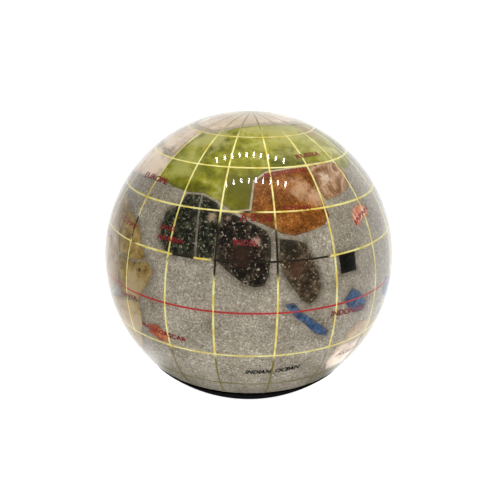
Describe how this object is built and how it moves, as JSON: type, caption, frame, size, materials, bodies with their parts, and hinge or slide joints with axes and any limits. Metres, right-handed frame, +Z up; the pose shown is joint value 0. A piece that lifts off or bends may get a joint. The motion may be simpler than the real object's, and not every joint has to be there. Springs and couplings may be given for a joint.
{
  "type": "desktop globe",
  "caption": "Desk globe: a ball of inlaid stone plates and brass wires under a clear coat, turning on a low black base.",
  "frame": {"origin": "under the middle of the ball, on the surface that the felt pad rests on", "axes": "+Z up along the axis the ball turns on; -Y faces the viewer, with India and the Indian Ocean in front; +X to the viewer's right"},
  "size_m": [0.08, 0.08, 0.075],
  "materials": {
    "base_body": "polished black",
    "ballast_weight": "cast, oiled",
    "bottom_cover": "stamped",
    "felt_pad": "dark green felt",
    "cover_screws": "zinc plated",
    "thrust_washer": "nylon",
    "spring_washer": "spring steel",
    "shoulder_screw": "zinc plated",
    "threaded_insert": "machined",
    "resin_core": "cast resin",
    "ocean": "pearl chips in grey-beige resin",
    "wires": "polished",
    "equator_line": "red enamel",
    "clear_coat": "clear polished lacquer",
    "red_lettering": "printed under the coat",
    "black_lettering": "printed under the coat",
    "green_jade": "polished",
    "orange_jasper": "polished",
    "marbled_agate": "polished",
    "dark_green_stone": "polished",
    "dark_brown_stone": "polished",
    "brown_granite": "polished",
    "black_stone": "polished",
    "salmon_jasper": "polished",
    "blue_sodalite": "polished",
    "red_jasper": "polished",
    "pink_shell": "polished",
    "tan_jasper": "polished",
    "beige_marble": "polished"
  },
  "bodies": {
    "base": {"ballast_weight": "ballast_weight", "base_body": "base_body", "bottom_cover": "bottom_cover", "cover_screw_1": "cover_screws", "cover_screw_2": "cover_screws", "cover_screw_3": "cover_screws", "felt_pad": "felt_pad", "spring_washer": "spring_washer", "thrust_washer": "thrust_washer"},
    "ball": {"clear_coat": "clear_coat", "equator_line": "equator_line", "meridian_wires": "wires", "ocean_shell": "ocean", "parallel_wire_north_17": "wires", "parallel_wire_north_34": "wires", "parallel_wire_north_51": "wires", "parallel_wire_north_66": "wires", "parallel_wire_south_17": "wires", "parallel_wire_south_34": "wires", "resin_core": "resin_core", "shoulder_screw": "shoulder_screw", "stone_africa_east": "tan_jasper", "stone_africa_north_east": "tan_jasper", "stone_africa_north_west": "beige_marble", "stone_africa_south": "tan_jasper", "stone_alaska": "blue_sodalite", "stone_andes": "brown_granite", "stone_arabia": "dark_green_stone", "stone_argentina": "beige_marble", "stone_australia_east": "tan_jasper", "stone_australia_north": "beige_marble", "stone_australia_west": "pink_shell", "stone_borneo": "blue_sodalite", "stone_brazil": "dark_green_stone", "stone_canada": "red_jasper", "stone_china": "orange_jasper", "stone_europe": "pink_shell", "stone_far_east": "marbled_agate", "stone_greenland": "pink_shell", "stone_india": "dark_brown_stone", "stone_indochina": "brown_granite", "stone_iran": "dark_green_stone", "stone_japan": "salmon_jasper", "stone_madagascar": "red_jasper", "stone_mexico": "orange_jasper", "stone_new_guinea": "blue_sodalite", "stone_new_zealand": "green_jade", "stone_philippines": "black_stone", "stone_polar_cap": "pink_shell", "stone_scandinavia": "pink_shell", "stone_siberia": "green_jade", "stone_sumatra": "blue_sodalite", "stone_united_states": "green_jade", "threaded_insert": "threaded_insert"}
  },
  "joints": [
    {"name": "globe_spin", "type": "hinge", "parent": "base", "child": "ball", "pos_m": [0, 0, 0.035], "axis": [0, 0, 1], "continuous": true}
  ]
}
